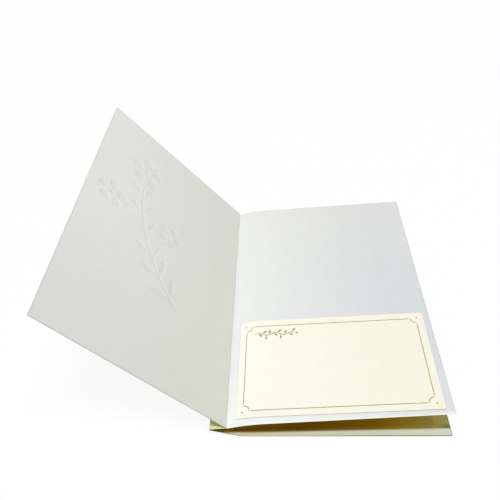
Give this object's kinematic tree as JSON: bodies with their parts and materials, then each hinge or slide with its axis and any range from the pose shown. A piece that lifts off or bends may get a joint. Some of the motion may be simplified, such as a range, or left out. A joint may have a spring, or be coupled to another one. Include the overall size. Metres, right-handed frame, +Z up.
{
  "type": "greeting card",
  "caption": "Folded greeting card standing open, with an embossed front panel, an inner leaf and a small framed card glued on it for a message.",
  "frame": {"origin": "centre of the flat underside of the back panel, on the table", "axes": "+X from the spine towards the free edges, +Y up the page along the folds, +Z up"},
  "size_m": [0.1966, 0.178, 0.096],
  "materials": {
    "cover_stock": "pearl",
    "leaf_paper": "smooth",
    "message_stock": "smooth, with a gold foil frame"
  },
  "bodies": {
    "root": {"cover": "cover_stock", "insert_leaf": "leaf_paper", "message_card": "message_stock"}
  },
  "joints": []
}
